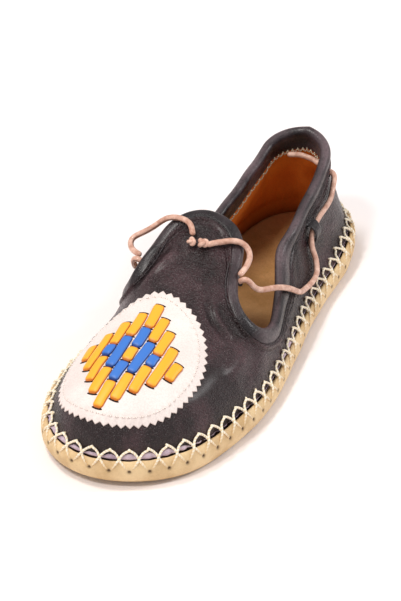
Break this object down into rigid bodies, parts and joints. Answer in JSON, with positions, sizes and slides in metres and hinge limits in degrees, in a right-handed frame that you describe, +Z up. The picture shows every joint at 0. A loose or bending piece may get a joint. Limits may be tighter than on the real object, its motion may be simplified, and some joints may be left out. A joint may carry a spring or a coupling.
{
  "type": "leather slipper",
  "caption": "Low hand sewn leather slipper, left foot, with a turned up sole, a rising tongue, lace round the quarters and a woven diamond on a pinked patch.",
  "frame": {"origin": "centre of the bounding box's base, on the plane the sole stands on", "axes": "+Y from the toe to the heel, +X to the outer side of a left foot, +Z up"},
  "size_m": [0.0972, 0.2649, 0.0689],
  "materials": {
    "sole_leather": "raw vegetable tanned",
    "insole_leather": "undyed, worn",
    "goat_leather": "grained, waxed",
    "binding_leather": "smooth, rolled",
    "white_leather": "alum tawed",
    "strip_leather": "dyed flat strip",
    "lace_leather": "round thong"
  },
  "bodies": {
    "root": {"outsole": "sole_leather", "insole": "insole_leather", "upper": "goat_leather", "collar_binding": "binding_leather", "keeper_outer": "binding_leather", "keeper_inner": "binding_leather", "vamp_patch": "white_leather", "lace_outer": "lace_leather", "lace_inner": "lace_leather", "lace_heel_strap": "lace_leather", "lace_loop_outer": "lace_leather", "lace_loop_inner": "lace_leather", "lace_knot_outer": "lace_leather", "lace_knot_inner": "lace_leather", "woven_strip_01": "strip_leather", "woven_strip_02": "strip_leather", "woven_strip_03": "strip_leather", "woven_strip_04": "strip_leather", "woven_strip_05": "strip_leather", "woven_strip_06": "strip_leather", "woven_strip_07": "strip_leather", "woven_strip_08": "strip_leather", "woven_strip_09": "strip_leather"}
  },
  "joints": []
}
